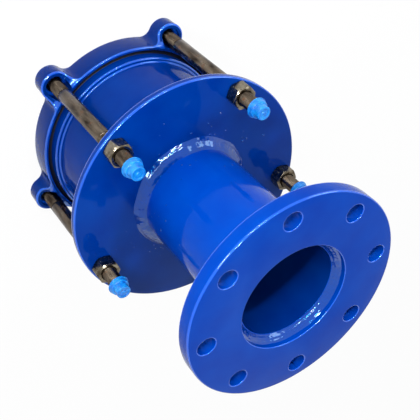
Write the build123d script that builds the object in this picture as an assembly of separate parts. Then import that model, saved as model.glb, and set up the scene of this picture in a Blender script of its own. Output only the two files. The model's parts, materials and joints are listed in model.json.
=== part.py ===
from build123d import *
import os
from math import cos, radians, sin, sqrt, tan

# Reducing flange adaptor: a drilled flange on a short pipe, welded to a round plate that carries
# a wider sleeve. A loose gland ring with five ears is drawn towards the plate by five studs and
# squeezes a rubber gasket into the mouth of the sleeve, onto a plain pipe pushed in from below.
# Millimetres. The axis is Z, the flange face is z = 0, and everything else hangs below it.

# Outlet flange
flange_od = 228.6
flange_thickness = 15.9
flange_bore_clearance = 0.9  # on the radius, round the pipe
flange_bolt_inset = 19.05    # rim of the flange to the bolt circle
flange_hole_count = 8
flange_hole_d = 19.05
flange_edge_break = 1.0

# Spool pipe between the flange and the plate
pipe_od = 114.3
pipe_wall = 6.02
pipe_setback = 12.5          # the pipe stops this far below the flange face

# End plate
plate_drop = 185.6           # flange face to the upper face of the plate
plate_margin = 14.6          # centres of the studs to the rim of the plate
plate_thickness = 8.0
plate_edge_round = 2.0
pipe_hole_clearance = 0.4    # on the radius, round the pipe

# Sleeve that takes the plain pipe end
sleeve_bore = 184.0
sleeve_wall = 5.5
sleeve_length = 121.0
lip_step = 5.1               # how far the lip stands out from the sleeve
lip_length = 14.0
lip_edge_round = 2.0
lip_root_round = 4.0
seat_width = 4.5             # bevel inside the mouth that the gasket is pressed against
seat_depth = 9.0

# Gland ring
gland_gap = 4.0              # lip of the sleeve to the skirt of the gland ring
gland_height = 32.5
gland_draft = 2.0            # degrees, wider towards the rim
gland_rim_overlap = 4.0      # how far the rim stands round the lip of the sleeve
gland_skirt_wall = 4.3
gland_back_round = 1.5
gland_rim_round = 1.8
gland_back_thickness = 15.0
gland_bore_clearance = 1.0   # on the radius, beyond the bore of the sleeve

# Ears of the gland ring
ear_offset = 8.3             # rim of the ring to the centres of the studs
ear_radius = 16.4            # at the back
ear_blend = 12.0
ear_drop = 11.5              # rim of the ring to the top of an ear
ear_fall_inset = 1.5         # the rim starts to fall this far inside its outer edge
ear_fall_width = 14.5        # how far outwards it takes to fall to that height
pocket_radius = 12.2
ear_web = 4.5                # between the pocket above and the socket of the nut below
ear_hole_d = 18.0

# Studs with a plain middle and a thread at both ends
stud_count = 5
stud_turn = 92.0             # degrees from +X to the first stud
stud_thread_d = 15.7
stud_shank_d = 15.9
stud_thread_pitch = 2.0
stud_above_plate = 39.0
stud_upper_thread = 60.0
stud_lower_thread = 41.5
stud_past_nut = 1.0          # below the thin nut
stud_sunk = 0.5              # its end lies this far inside the back of the gland ring
plate_hole_d = 18.0

# Nuts
nut_across_flats = 24.0
nut_height = 14.8
thin_nut_height = 8.0        # the nuts in the backs of the ears
nut_socket_clearance = 0.3   # on the radius, round a thin nut
nut_chamfer_angle = 30.0
nut_washer_face = 0.9        # share of the width across flats left flat at each end
nut_bore_clearance = 0.06    # on the radius, a running fit on the thread
plate_nut_turns = (12.0, 0.0, 5.0, 38.0, 26.0)
gland_nut_turn = 30.0

# Push-on thread caps
cap_brim_d = 22.0
cap_brim_thickness = 1.2
cap_body_d = 20.2
cap_shoulder_d = 19.0
cap_body_height = 5.6
cap_nose_d = 15.2
cap_height = 13.4
cap_grip = 4.4               # length of stud inside the cap
cap_recess_d = 10.4
cap_recess_depth = 0.8
cap_nub_d = 3.6
cap_wall = 1.4
cap_edge_round = 0.6
cap_bore_clearance = 0.05    # on the radius, a push fit on the thread

# Gasket
gasket_clearance = 0.3
gasket_bore_clearance = 0.5  # on the radius, beyond the bore of the sleeve
gasket_nose_depth = 7.0
gasket_nose_flat = 1.0

# Weld beads: leg along the flange or plate, and leg along the pipe
bore_weld_drop = 4.5         # flange face to the top of the bead in the bore
neck_weld_leg = 8.0
plate_weld_leg_out = 11.0
plate_weld_leg_up = 10.0
sleeve_weld_leg = 7.0
weld_crown = 0.12            # how far a bead bulges, as a share of its legs

# How far a cut runs out past the face that it opens
cut_margin = 1.0

# Places along the axis
flange_back_z = -flange_thickness
pipe_top_z = -pipe_setback
plate_top_z = -plate_drop
plate_back_z = plate_top_z - plate_thickness
mouth_z = plate_back_z - sleeve_length
gland_rim_z = mouth_z + gland_rim_overlap
gland_back_z = gland_rim_z - gland_height
gland_shoulder_z = gland_back_z + gland_back_thickness
stud_top_z = plate_top_z + stud_above_plate
stud_bottom_z = gland_back_z + stud_sunk
thin_nut_low_z = stud_bottom_z + stud_past_nut
nut_socket_top_z = thin_nut_low_z + thin_nut_height
pocket_floor_z = nut_socket_top_z + ear_web
cap_brim_z = stud_top_z - cap_grip
ear_top_z = gland_rim_z - ear_drop

# Radii worked out from the sizes above
flange_radius = flange_od / 2
bolt_circle_radius = flange_radius - flange_bolt_inset
pipe_radius = pipe_od / 2
pipe_inner_radius = pipe_radius - pipe_wall
flange_bore_radius = pipe_radius + flange_bore_clearance
sleeve_inner_radius = sleeve_bore / 2
sleeve_radius = sleeve_inner_radius + sleeve_wall
lip_radius = sleeve_radius + lip_step
skirt_inner_radius = lip_radius + gland_gap
rim_radius = skirt_inner_radius + gland_skirt_wall
gland_radius = rim_radius - gland_height * tan(radians(gland_draft))
gland_bore_radius = sleeve_inner_radius + gland_bore_clearance
stud_circle_radius = rim_radius + ear_offset
plate_radius = stud_circle_radius + plate_margin
stud_radius = stud_thread_d / 2


def stud_angle(index):
    return stud_turn + index * 360 / stud_count


def at_stud(index):
    """The place of one stud on the stud circle, turned to face outwards."""
    angle = stud_angle(index)
    x = stud_circle_radius * cos(radians(angle))
    y = stud_circle_radius * sin(radians(angle))
    return Location((x, y, 0), (0, 0, angle))


def turned(points):
    """Turn an outline of (radius, z) points round the Z axis."""
    outline = make_face(Polyline(*points, close=True))
    return revolve(Plane.XZ * outline, Axis.Z)


def disc(radius, low, high):
    """A round bar on the Z axis from one height to another."""
    return Pos(0, 0, low) * Cylinder(radius, high - low, align=(Align.CENTER, Align.CENTER, Align.MIN))


def edges_at(solid, z, radius):
    """The round edges of a solid at one height and one radius about the Z axis."""
    found = []
    for edge in solid.edges().filter_by(GeomType.CIRCLE):
        same_height = abs(edge.arc_center.Z - z) < 0.01
        on_axis = abs(edge.arc_center.X) < 0.01 and abs(edge.arc_center.Y) < 0.01
        if same_height and on_axis and abs(edge.radius - radius) < 0.01:
            found.append(edge)
    return ShapeList(found)


def fillet_bead(wall_radius, foot_z, leg_out, leg_up):
    """A weld bead in the corner between an upright wall and a flat face, with a bulging front."""
    corner = (wall_radius, foot_z)
    foot = (wall_radius + leg_out, foot_z)
    head = (wall_radius, foot_z + leg_up)
    crown = (wall_radius + leg_out * (0.5 + weld_crown), foot_z + leg_up * (0.5 + weld_crown))
    front = ThreePointArc(foot, crown, head)
    outline = make_face([Line(head, corner), Line(corner, foot), front])
    return revolve(Plane.XZ * outline, Axis.Z)


def outlet_flange():
    """Drilled plate flange with broken edges."""
    flange = disc(flange_radius, flange_back_z, 0) - disc(flange_bore_radius, flange_back_z, 0)
    rims = edges_at(flange, 0, flange_radius) + edges_at(flange, flange_back_z, flange_radius)
    flange = chamfer(rims, flange_edge_break)
    flange = chamfer(edges_at(flange, 0, flange_bore_radius), flange_edge_break)
    drill = disc(flange_hole_d / 2, flange_back_z, 0)
    for hole in PolarLocations(bolt_circle_radius, flange_hole_count):
        flange -= hole * drill
    return flange


def spool_pipe():
    """Short pipe from inside the flange bore to the back of the plate."""
    return disc(pipe_radius, plate_back_z, pipe_top_z) - disc(pipe_inner_radius, plate_back_z, pipe_top_z)


def end_plate():
    """Round plate that joins the narrow pipe to the wide sleeve and carries the studs."""
    plate = disc(plate_radius, plate_back_z, plate_top_z)
    plate = fillet(edges_at(plate, plate_top_z, plate_radius), plate_edge_round)
    plate = fillet(edges_at(plate, plate_back_z, plate_radius), plate_edge_round / 2)
    plate -= disc(pipe_radius + pipe_hole_clearance, plate_back_z, plate_top_z)
    for index in range(stud_count):
        plate -= at_stud(index) * disc(plate_hole_d / 2, plate_back_z, plate_top_z)
    return plate


def socket_sleeve():
    """Wide sleeve with a thickened lip and a bevelled mouth."""
    lip_top_z = mouth_z + lip_length
    sleeve = disc(sleeve_radius, mouth_z, plate_back_z) + disc(lip_radius, mouth_z, lip_top_z)
    sleeve = fillet(edges_at(sleeve, lip_top_z, sleeve_radius), lip_root_round)
    sleeve = fillet(edges_at(sleeve, lip_top_z, lip_radius), lip_edge_round)
    sleeve = fillet(edges_at(sleeve, mouth_z, lip_radius), lip_edge_round)
    sleeve -= disc(sleeve_inner_radius, mouth_z, plate_back_z)
    bevel = Cone(sleeve_inner_radius + seat_width, sleeve_inner_radius, seat_depth)
    return sleeve - Pos(0, 0, mouth_z + seat_depth / 2) * bevel


def gasket():
    """Rubber wedge ring between the shoulder of the gland and the mouth of the sleeve."""
    inner = sleeve_inner_radius + gasket_bore_clearance
    outer = skirt_inner_radius - gasket_clearance
    lip_edge = lip_radius - lip_edge_round
    nose_share = gasket_nose_depth / seat_depth
    nose_radius = sleeve_inner_radius + seat_width * (1 - nose_share) - gasket_clearance
    seat_edge = sleeve_inner_radius + seat_width - gasket_clearance
    return turned([
        (inner, gland_shoulder_z),
        (outer, gland_shoulder_z),
        (outer, (gland_shoulder_z + mouth_z) / 2),
        (lip_edge, mouth_z),
        (seat_edge, mouth_z),
        (nose_radius, mouth_z + gasket_nose_depth),
        (nose_radius - gasket_nose_flat, mouth_z + gasket_nose_depth),
        (inner, mouth_z),
    ])


def gland_blank():
    """Ring and ears as one cast outline, a little wider towards the rim."""
    outline = Circle(gland_radius)
    for index in range(stud_count):
        outline += at_stud(index) * Circle(ear_radius)
    outline = fillet(outline.vertices(), ear_blend)
    blank = extrude(Pos(0, 0, gland_back_z) * outline, gland_height, taper=-gland_draft)
    back_edges = blank.edges().filter_by_position(Axis.Z, gland_back_z - 0.01, gland_back_z + 0.01)
    return fillet(back_edges, gland_back_round)


def ear_tops():
    """What is cut away above the ears: the rim falls outwards in a smooth S, then runs level."""
    above = gland_rim_z + cut_margin
    reach = stud_circle_radius + 2 * ear_radius
    start_radius = rim_radius - ear_fall_inset
    start = (start_radius, gland_rim_z)
    landing = (start_radius + ear_fall_width, ear_top_z)
    fall = Spline(start, landing, tangents=((1, 0), (1, 0)))
    rest = Polyline(landing, (reach, ear_top_z), (reach, above), (start_radius, above), start)
    return revolve(Plane.XZ * make_face([fall, rest]), Axis.Z)


def outer_top_edges(gland):
    """The upper edges of the upright outer walls, all round the rim and the ears."""
    walls = gland.faces().filter_by(lambda face: abs(face.normal_at().Z) < 0.2)
    return walls.edges().filter_by_position(Axis.Z, ear_top_z - 0.01, gland_rim_z + 0.01)


def ear_hollows():
    """What is cut out of one ear on the Z axis: pocket, hole for the stud, socket for the nut."""
    socket_radius = nut_across_flats / 2 + nut_socket_clearance
    hexagon = Rot(0, 0, gland_nut_turn) * RegularPolygon(socket_radius, 6, major_radius=False)
    socket = extrude(Pos(0, 0, gland_back_z) * hexagon, nut_socket_top_z - gland_back_z)
    hole = disc(ear_hole_d / 2, nut_socket_top_z, pocket_floor_z)
    pocket = disc(pocket_radius, pocket_floor_z, gland_rim_z + cut_margin)
    return pocket + hole + socket


def gland_ring():
    """Cast ring with a skirt round the lip of the sleeve and a hollow in each ear for a stud."""
    gland = gland_blank() - ear_tops()
    gland = fillet(outer_top_edges(gland), gland_rim_round)
    gland -= disc(skirt_inner_radius, gland_shoulder_z, gland_rim_z)
    gland = fillet(edges_at(gland, gland_rim_z, skirt_inner_radius), gland_rim_round)
    gland -= disc(gland_bore_radius, gland_back_z, gland_shoulder_z)
    ring_wall = disc(rim_radius, pocket_floor_z, gland_rim_z + cut_margin)
    for index in range(stud_count):
        gland -= at_stud(index) * ear_hollows() - ring_wall
    return gland


def stud():
    """Stud on the Z axis: plain in the middle, full diameter where it is threaded."""
    shank_top_z = stud_top_z - stud_upper_thread
    shank_low_z = stud_bottom_z + stud_lower_thread
    rod = disc(stud_radius, shank_top_z, stud_top_z) + disc(stud_radius, stud_bottom_z, shank_low_z)
    rod += disc(stud_shank_d / 2, shank_low_z, shank_top_z)
    ends = edges_at(rod, stud_top_z, stud_radius) + edges_at(rod, stud_bottom_z, stud_radius)
    return chamfer(ends, stud_thread_pitch / 2)


def hex_nut(low_z, height):
    """Hexagon nut on the Z axis with both ends turned down at the corners."""
    corner = nut_across_flats / sqrt(3)
    high_z = low_z + height
    nut = extrude(Pos(0, 0, low_z) * RegularPolygon(corner, 6), height)
    face = nut_across_flats / 2 * nut_washer_face
    drop = (corner - face) * tan(radians(nut_chamfer_angle))
    nut &= turned([
        (0, low_z),
        (face, low_z),
        (corner, low_z + drop),
        (corner, high_z - drop),
        (face, high_z),
        (0, high_z),
    ])
    return nut - disc(stud_radius + nut_bore_clearance, low_z, high_z)


def thread_cap():
    """Stepped hollow cap with a thin brim, a wide body and a narrow nose with a dimple."""
    top_z = cap_brim_z + cap_height
    shoulder_z = cap_brim_z + cap_body_height
    dimple_z = top_z - cap_recess_depth
    shoulder_fall = (cap_shoulder_d - cap_nose_d) / 4
    cap = turned([
        (0, cap_brim_z),
        (cap_brim_d / 2, cap_brim_z),
        (cap_brim_d / 2, cap_brim_z + cap_brim_thickness),
        (cap_body_d / 2, cap_brim_z + cap_brim_thickness),
        (cap_shoulder_d / 2, shoulder_z - shoulder_fall),
        (cap_shoulder_d / 2 - shoulder_fall, shoulder_z),
        (cap_nose_d / 2, shoulder_z),
        (cap_nose_d / 2, top_z - cap_edge_round),
        (cap_nose_d / 2 - cap_edge_round, top_z),
        (0, top_z),
    ])
    cap -= disc(cap_recess_d / 2, dimple_z, top_z) - disc(cap_nub_d / 2, dimple_z, top_z)
    cap -= disc(stud_radius + cap_bore_clearance, cap_brim_z, stud_top_z)
    return cap - disc(cap_nose_d / 2 - cap_wall, stud_top_z, dimple_z - cap_wall)


def save(shape, name):
    export_step(shape, f"parts/{name}.step")
    print(name, round(shape.volume))


def main():
    os.makedirs("parts", exist_ok=True)
    save(outlet_flange(), "outlet_flange")
    save(spool_pipe(), "spool_pipe")
    save(end_plate(), "end_plate")
    save(socket_sleeve(), "socket_sleeve")
    save(gasket(), "gasket")
    save(gland_ring(), "gland_ring")
    weld_out = -(flange_bore_radius - pipe_inner_radius)
    bore_weld = fillet_bead(flange_bore_radius, pipe_top_z, weld_out, pipe_setback - bore_weld_drop)
    save(bore_weld, "bore_weld")
    save(fillet_bead(pipe_radius, flange_back_z, neck_weld_leg, -neck_weld_leg), "neck_weld")
    save(fillet_bead(pipe_radius, plate_top_z, plate_weld_leg_out, plate_weld_leg_up), "plate_weld")
    save(fillet_bead(sleeve_radius, plate_back_z, sleeve_weld_leg, -sleeve_weld_leg), "sleeve_weld")
    rod = stud()
    cap = thread_cap()
    upper_nut = hex_nut(plate_top_z, nut_height)
    lower_nut = hex_nut(thin_nut_low_z, thin_nut_height)
    for index in range(stud_count):
        number = index + 1
        place = at_stud(index)
        save(place * rod, f"stud_{number}")
        save(place * Rot(0, 0, plate_nut_turns[index]) * upper_nut, f"plate_nut_{number}")
        save(place * Rot(0, 0, gland_nut_turn) * lower_nut, f"gland_nut_{number}")
        save(place * cap, f"thread_cap_{number}")


main()
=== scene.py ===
# %% [markdown]
# # A reducing flange adaptor in blue enamel
# The real thing joins a drilled flange to the plain end of a wider pipe. A short pipe is welded
# between a flange and a round plate, the plate carries a wide sleeve, and five long studs pull a
# cast gland ring with five ears up against a rubber gasket in the mouth of the sleeve.
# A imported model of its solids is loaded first. It fixes every size and every motion, so each
# piece made here takes its place and size from it, and only adds what the eye needs: soft
# edges, threads, lumpy welds, and finishes with depth.

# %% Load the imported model
import json
import random
from math import acos, atan2, ceil, cos, hypot, pi, radians, sin, tan

import bmesh
import bpy
from mathutils import Matrix, Vector, noise


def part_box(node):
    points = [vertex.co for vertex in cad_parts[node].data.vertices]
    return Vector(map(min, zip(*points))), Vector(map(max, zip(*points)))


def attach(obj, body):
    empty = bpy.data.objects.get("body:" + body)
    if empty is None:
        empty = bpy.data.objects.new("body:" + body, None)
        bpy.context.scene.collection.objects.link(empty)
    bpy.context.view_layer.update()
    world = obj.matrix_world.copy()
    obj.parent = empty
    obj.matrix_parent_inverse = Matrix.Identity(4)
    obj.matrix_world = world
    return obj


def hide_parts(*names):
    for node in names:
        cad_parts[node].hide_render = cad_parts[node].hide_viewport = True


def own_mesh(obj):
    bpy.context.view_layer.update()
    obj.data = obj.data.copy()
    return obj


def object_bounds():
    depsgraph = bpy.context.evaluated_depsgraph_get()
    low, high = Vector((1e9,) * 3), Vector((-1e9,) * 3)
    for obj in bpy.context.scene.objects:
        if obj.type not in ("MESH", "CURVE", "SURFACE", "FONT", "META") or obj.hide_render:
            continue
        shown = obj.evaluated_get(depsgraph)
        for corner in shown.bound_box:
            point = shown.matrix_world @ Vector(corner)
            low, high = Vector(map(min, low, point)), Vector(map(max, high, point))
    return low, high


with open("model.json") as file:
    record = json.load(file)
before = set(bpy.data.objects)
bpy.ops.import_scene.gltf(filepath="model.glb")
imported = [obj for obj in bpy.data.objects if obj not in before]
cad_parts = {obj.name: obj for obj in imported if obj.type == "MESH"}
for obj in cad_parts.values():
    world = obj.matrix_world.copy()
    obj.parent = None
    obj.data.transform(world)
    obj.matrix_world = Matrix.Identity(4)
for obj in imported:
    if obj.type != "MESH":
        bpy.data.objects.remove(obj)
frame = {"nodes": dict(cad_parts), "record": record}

cad_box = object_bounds()
print("solids loaded:", len(frame["nodes"]))

# %% [markdown]
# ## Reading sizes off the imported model
# Sizes could be typed in a second time, but two copies of a number soon disagree. The box round
# each solid gives its height and reach, so the pieces follow the solids if those change.
# All shapes below are worked out in millimetres, since that is how such a fitting is drawn, and
# are turned into Blender's metres as a mesh is made.

# %% Measure the solids
MM = 0.001


def low(node):
    """Height of the lowest point of a solid, in millimetres."""
    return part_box(node)[0][2] / MM


def high(node):
    """Height of the highest point of a solid, in millimetres."""
    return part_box(node)[1][2] / MM


def reach(node):
    """Half the width of a round solid on the axis, in millimetres."""
    lowest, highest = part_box(node)
    return (highest[0] - lowest[0]) / 2 / MM


def middle(node):
    """Centre of a solid seen from above, in millimetres."""
    lowest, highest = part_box(node)
    return (lowest[0] + highest[0]) / 2 / MM, (lowest[1] + highest[1]) / 2 / MM


STUDS = range(1, 6)
stud_places = {number: middle(f"thread_cap_{number}") for number in STUDS}
stud_circle = sum(hypot(*place) for place in stud_places.values()) / len(stud_places)
stud_angles = {number: atan2(place[1], place[0]) for number, place in stud_places.items()}
print("stud circle radius:", round(stud_circle, 2), "mm")

# %% [markdown]
# ## Turning an outline round the axis
# Pipes, sleeves and caps are bodies of revolution. Blender's Screw modifier could turn an outline,
# but building the rings in code gives full say over the spacing, so that a small rounded edge has
# as many rings as a long straight wall.
# No real edge is perfectly sharp, and on glossy paint it is the rounded edge that catches the
# light. So each corner of an outline is written with the radius it is rounded by.

# %% Outlines with rounded corners
def soften(corners, steps=4):
    """Replace each corner (r, z, radius) of a closed outline by a short arc of points."""
    outline = []
    for index, (r, z, radius) in enumerate(corners):
        here = Vector((r, z))
        if radius <= 0:
            outline.append(here)
            continue
        before = Vector(corners[index - 1][:2]) - here
        after = Vector(corners[(index + 1) % len(corners)][:2]) - here
        half = before.angle(after) / 2
        setback = min(radius / tan(half), before.length * 0.49, after.length * 0.49)
        start = here + before.normalized() * setback
        end = here + after.normalized() * setback
        for step in range(steps + 1):
            t = step / steps
            outline.append(start * (1 - t) ** 2 + here * (2 * t * (1 - t)) + end * t**2)
    return outline


def rings(outline, around=192, closed=True):
    """Turn an outline of (r, z) points round the Z axis into vertices and faces."""
    verts = []
    for step in range(around):
        angle = 2 * pi * step / around
        for r, z in outline:
            verts.append((r * cos(angle), r * sin(angle), z))
    count = len(outline)
    spans = count if closed else count - 1
    faces = []
    for step in range(around):
        here = step * count
        there = (step + 1) % around * count
        for k in range(spans):
            nxt = (k + 1) % count
            faces.append((here + k, there + k, there + nxt, here + nxt))
    return verts, faces


# %% [markdown]
# ## Making a mesh into a piece
# Every piece goes through one helper, so that each is scaled, cleaned, shaded and tied to the
# imported model in the same way. Faces are shaded smooth, and edges sharper than a given angle stay
# crisp. Normals are made to point outwards, because a gloss coat on an inside-out face goes black.
# A piece may carry a second finish on some of its faces, such as a lighter blue on its rounded edges,
# which paints in their highlights.

# %% One helper for every mesh and every piece
WELD_DISTANCE = 0.004  # vertices closer than this many millimetres become one


def mesh_of(name, verts, faces, crisp=35.0):
    """A Blender mesh, in metres, from vertices in millimetres."""
    mesh = bpy.data.meshes.new(name)
    mesh.from_pydata([(x * MM, y * MM, z * MM) for x, y, z in verts], [], faces)
    work = bmesh.new()
    work.from_mesh(mesh)
    bmesh.ops.remove_doubles(work, verts=work.verts, dist=WELD_DISTANCE * MM)
    bmesh.ops.recalc_face_normals(work, faces=work.faces)
    work.to_mesh(mesh)
    work.free()
    mesh.shade_smooth()
    mesh.set_sharp_from_angle(angle=radians(crisp))
    return mesh


def piece(name, mesh, finish, body, stands_for=(), second=None, where=None):
    """Put a mesh into the scene with its finish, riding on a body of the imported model.

    Faces for which where(face) is true get the second finish.
    """
    thing = bpy.data.objects.new(name, mesh)
    bpy.context.scene.collection.objects.link(thing)
    thing.data.materials.clear()
    thing.data.materials.append(finish)
    if second:
        thing.data.materials.append(second)
        for face in mesh.polygons:
            face.material_index = 1 if where(face) else 0
    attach(thing, body)
    if stands_for:
        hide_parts(*stands_for)
    print(name, len(thing.data.polygons), "faces")
    return thing


# %% [markdown]
# ## Cutting holes
# Holes could be laid out in the mesh by hand, but a round hole in a round disc meets no grid of
# faces well. A boolean cuts it exactly. The flat faces are then dissolved, which clears the spokes
# that the boolean leaves and that would spoil the gloss. A bevel comes last and rounds each new
# edge. Clamping keeps a bevel from overlapping itself where small faces lie close together, as on
# the casting, but on a drilled disc it would shrink the bevel to nothing, so there it is off.

# %% Cutting with modifiers
def add_modifier(thing, kind, **settings):
    """Add a modifier and set what it is told."""
    modifier = thing.modifiers.new(kind.title(), kind)
    for key, value in settings.items():
        setattr(modifier, key, value)
    return modifier


def carve(name, mesh, cutters, edge, crisp=35.0, clamp=True):
    """Cut holes out of a mesh, clean the flat faces, round the new edges, and return the result."""
    thing = bpy.data.objects.new(name, mesh)
    bpy.context.scene.collection.objects.link(thing)
    tools = []
    for index, cutter in enumerate(cutters):
        tool = bpy.data.objects.new(f"cutter_{index}", cutter)
        bpy.context.scene.collection.objects.link(tool)
        add_modifier(thing, "BOOLEAN", operation="DIFFERENCE", object=tool, solver="EXACT")
        tools.append(tool)
    add_modifier(thing, "DECIMATE", decimate_type="DISSOLVE", angle_limit=radians(0.4))
    add_modifier(thing, "BEVEL", width=edge * MM, segments=3, limit_method="ANGLE",
                 angle_limit=radians(crisp), harden_normals=True, use_clamp_overlap=clamp)
    bpy.context.view_layer.update()
    ready = thing.evaluated_get(bpy.context.evaluated_depsgraph_get())
    result = bpy.data.meshes.new_from_object(ready)
    for spare in [thing] + tools:
        bpy.data.objects.remove(spare)
    return result


# %% [markdown]
# ## Node helpers
# A material is a small net of nodes. The same few turn up in every finish: a noise in object
# space, a ramp that turns it into colours, a range that turns it into a roughness, and bumps. A
# class keeps them short. Noise is used and not images, which would need unwrapping and would show
# their grain close up.

# %% Node helpers
def linear(red, green, blue):
    """A colour picked on screen (0 to 255) as the light values that a shader works in."""
    values = []
    for channel in (red, green, blue):
        c = channel / 255
        values.append(c / 12.92 if c <= 0.04045 else ((c + 0.055) / 1.055) ** 2.4)
    return (*values, 1.0)


class Finish:
    """A material and short ways to add nodes to it."""

    def __init__(self, name, **sockets):
        self.material = bpy.data.materials.new(name)
        self.material.use_nodes = True
        self.tree = self.material.node_tree
        self.shader = self.tree.nodes["Principled BSDF"]
        for key, value in sockets.items():
            self.shader.inputs[key.replace("_", " ")].default_value = value
        self.place = self.add("ShaderNodeTexCoord").outputs["Object"]

    def add(self, kind, **settings):
        """Add a node and set what it is told."""
        node = self.tree.nodes.new(kind)
        for key, value in settings.items():
            setattr(node, key, value)
        return node

    def join(self, source, target):
        self.tree.links.new(source, target)

    def noise(self, size_mm, detail=2.0, rough=0.5, stretch=(1, 1, 1)):
        """A noise whose patches are about size_mm across; stretch squeezes it along an axis."""
        mapping = self.add("ShaderNodeMapping")
        mapping.inputs["Scale"].default_value = stretch
        texture = self.add("ShaderNodeTexNoise")
        texture.inputs["Scale"].default_value = 1 / (size_mm * MM)
        texture.inputs["Detail"].default_value = detail
        texture.inputs["Roughness"].default_value = rough
        self.join(self.place, mapping.inputs["Vector"])
        self.join(mapping.outputs["Vector"], texture.inputs["Vector"])
        return texture.outputs["Fac"]

    def ramp(self, source, stops):
        """Turn a 0 to 1 value into colours given as (place, colour) stops."""
        node = self.add("ShaderNodeValToRGB")
        while len(node.color_ramp.elements) < len(stops):
            node.color_ramp.elements.new(0.5)
        for element, (place, colour) in zip(node.color_ramp.elements, stops):
            element.position = place
            element.color = colour
        self.join(source, node.inputs["Fac"])
        return node.outputs["Color"]

    def spread(self, source, low_value, high_value, start=0.3, end=0.7):
        """Stretch the middle of a noise onto a range of values."""
        node = self.add("ShaderNodeMapRange")
        node.inputs["From Min"].default_value = start
        node.inputs["From Max"].default_value = end
        node.inputs["To Min"].default_value = low_value
        node.inputs["To Max"].default_value = high_value
        self.join(source, node.inputs["Value"])
        return node.outputs["Result"]

    def bump(self, *layers):
        """Stack height layers, each (source, height in mm), into the shader's normal."""
        normal = None
        for source, height_mm in layers:
            node = self.add("ShaderNodeBump")
            node.inputs["Distance"].default_value = height_mm * MM
            node.inputs["Strength"].default_value = 1.0
            self.join(source, node.inputs["Height"])
            if normal:
                self.join(normal, node.inputs["Normal"])
            normal = node.outputs["Normal"]
        self.join(normal, self.shader.inputs["Normal"])

    def set(self, socket, source):
        """Let a node drive a socket of the shader."""
        self.join(source, self.shader.inputs[socket])


# %% [markdown]
# ## The enamel
# The fitting is dipped or sprayed in a thick, glossy blue and baked. Such a coat is never quite
# level, so a long soft bump bends the reflections, and it lies thicker in places, which shifts the
# blue a little. One function makes the family. It is told how strongly the paint mirrors, how much
# clear coat lies on top, and a light level that paints in how much light each piece gets. The blue
# is darkened as painted shade, most on the casting, the bore, the plate and the sleeve, and less on
# the welds, the flange and the pipe. It is lightened as a painted highlight along each rounded edge,
# which also mirrors more strongly and has more clear coat. The welds carry more clear coat and look
# wetter. The mirror image is tinted blue, which keeps the white floor from greying the big faces.

# %% The family of blue enamels
def enamel(name, wave_mm=0.12, grain_mm=0.012, painted_light_level=1.0, gloss=0.2, coat=0.05):
    """Thick blue gloss paint; wave_mm and grain_mm are how uneven the coat lies."""
    # painted_light_level scales the blue: below 1 it is painted shade, and on the edge finish it is a
    # painted highlight
    deep = tuple(c * painted_light_level for c in linear(0, 66, 188)[:3]) + (1.0,)
    bright = tuple(c * painted_light_level for c in linear(0, 80, 204)[:3]) + (1.0,)
    paint = Finish(name, Coat_Weight=coat, Coat_Roughness=0.03, Specular_Tint=linear(40, 190, 255),
                   Specular_IOR_Level=gloss)
    cloud = paint.noise(45, detail=3)
    paint.set("Base Color", paint.ramp(cloud, [(0.3, deep), (0.7, bright)]))
    paint.set("Roughness", paint.spread(paint.noise(16), 0.05, 0.1))
    paint.bump((paint.noise(24, detail=1), wave_mm), (paint.noise(3.2, detail=1), grain_mm))
    return paint.material


# the light levels below are painted light and shade on one and the same paint
enamel_turned = enamel("blue_enamel_on_turned_faces", wave_mm=0.10, painted_light_level=0.57, gloss=0.08, coat=0.02)
enamel_plate = enamel("blue_enamel_on_plate", wave_mm=0.14, painted_light_level=0.4, gloss=0.12, coat=0.04)
enamel_pipe = enamel("blue_enamel_on_pipe", wave_mm=0.22, grain_mm=0.02, painted_light_level=0.7, gloss=0.12,
                     coat=0.02)
# a darker blue for the pipe's bore: painted shade
enamel_bore_painted_shade = enamel("blue_enamel_painted_shade_in_bore", wave_mm=0.22, grain_mm=0.02, painted_light_level=0.3)
enamel_sleeve = enamel("blue_enamel_on_sleeve", wave_mm=0.22, grain_mm=0.02, painted_light_level=0.4, gloss=0.06,
                       coat=0.02)
enamel_weld = enamel("blue_enamel_on_welds", wave_mm=0.25, grain_mm=0.06, painted_light_level=0.45, gloss=0.5,
                     coat=0.7)
enamel_cast = enamel("blue_enamel_on_casting", wave_mm=0.25, grain_mm=0.05, painted_light_level=0.3, gloss=0.05,
                     coat=0.01)
# lighter blue on the rounded rims is a painted highlight; its stronger gloss and coat are real
enamel_edge_painted_highlight = enamel("blue_enamel_painted_highlight_on_edges", wave_mm=0.05, grain_mm=0.01, painted_light_level=0.9, gloss=0.9,
                     coat=1.0)
print("enamels:", [m.name for m in bpy.data.materials if m.name.startswith("blue")])

# %% [markdown]
# ## Finding the rounded edges
# The faces of a rounded edge could be noted down while each mesh is made, but a boolean and a
# bevel make new ones. They can be told afterwards by their form: they are narrow, and they slope,
# so they are neither level nor upright. They get the lighter edge enamel, a painted highlight.

# %% Faces of a rounded edge
UPRIGHT = 0.12      # a face whose normal rises less than this is a wall
LEVEL = 0.985       # a face whose normal rises more than this is flat
NARROW_MM = 1.05    # a face of a rounded edge is narrower than this


# faces found here get the lighter edge enamel, a painted highlight
def on_a_round(face):
    """True for the narrow sloping faces of a rounded edge."""
    corners = [face.id_data.vertices[i].co for i in face.vertices]
    sides = [(corners[k] - corners[k - 1]).length for k in range(len(corners))]
    slopes = UPRIGHT < abs(face.normal.z) < LEVEL
    return slopes and min(sides) < NARROW_MM * MM and len(corners) < 6


# %% [markdown]
# ## The drilled flange
# A flange is cut from plate: turned flat on both faces, bored, and drilled with eight holes. A
# disc from Blender's own cylinder would have razor edges all over. Here the disc is turned from
# an outline whose rims are already rounded, and the holes are drilled afterwards, so that the
# bevel has only their edges and a hidden corner left to break. The bolt circle comes from the
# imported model's mount.

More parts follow.
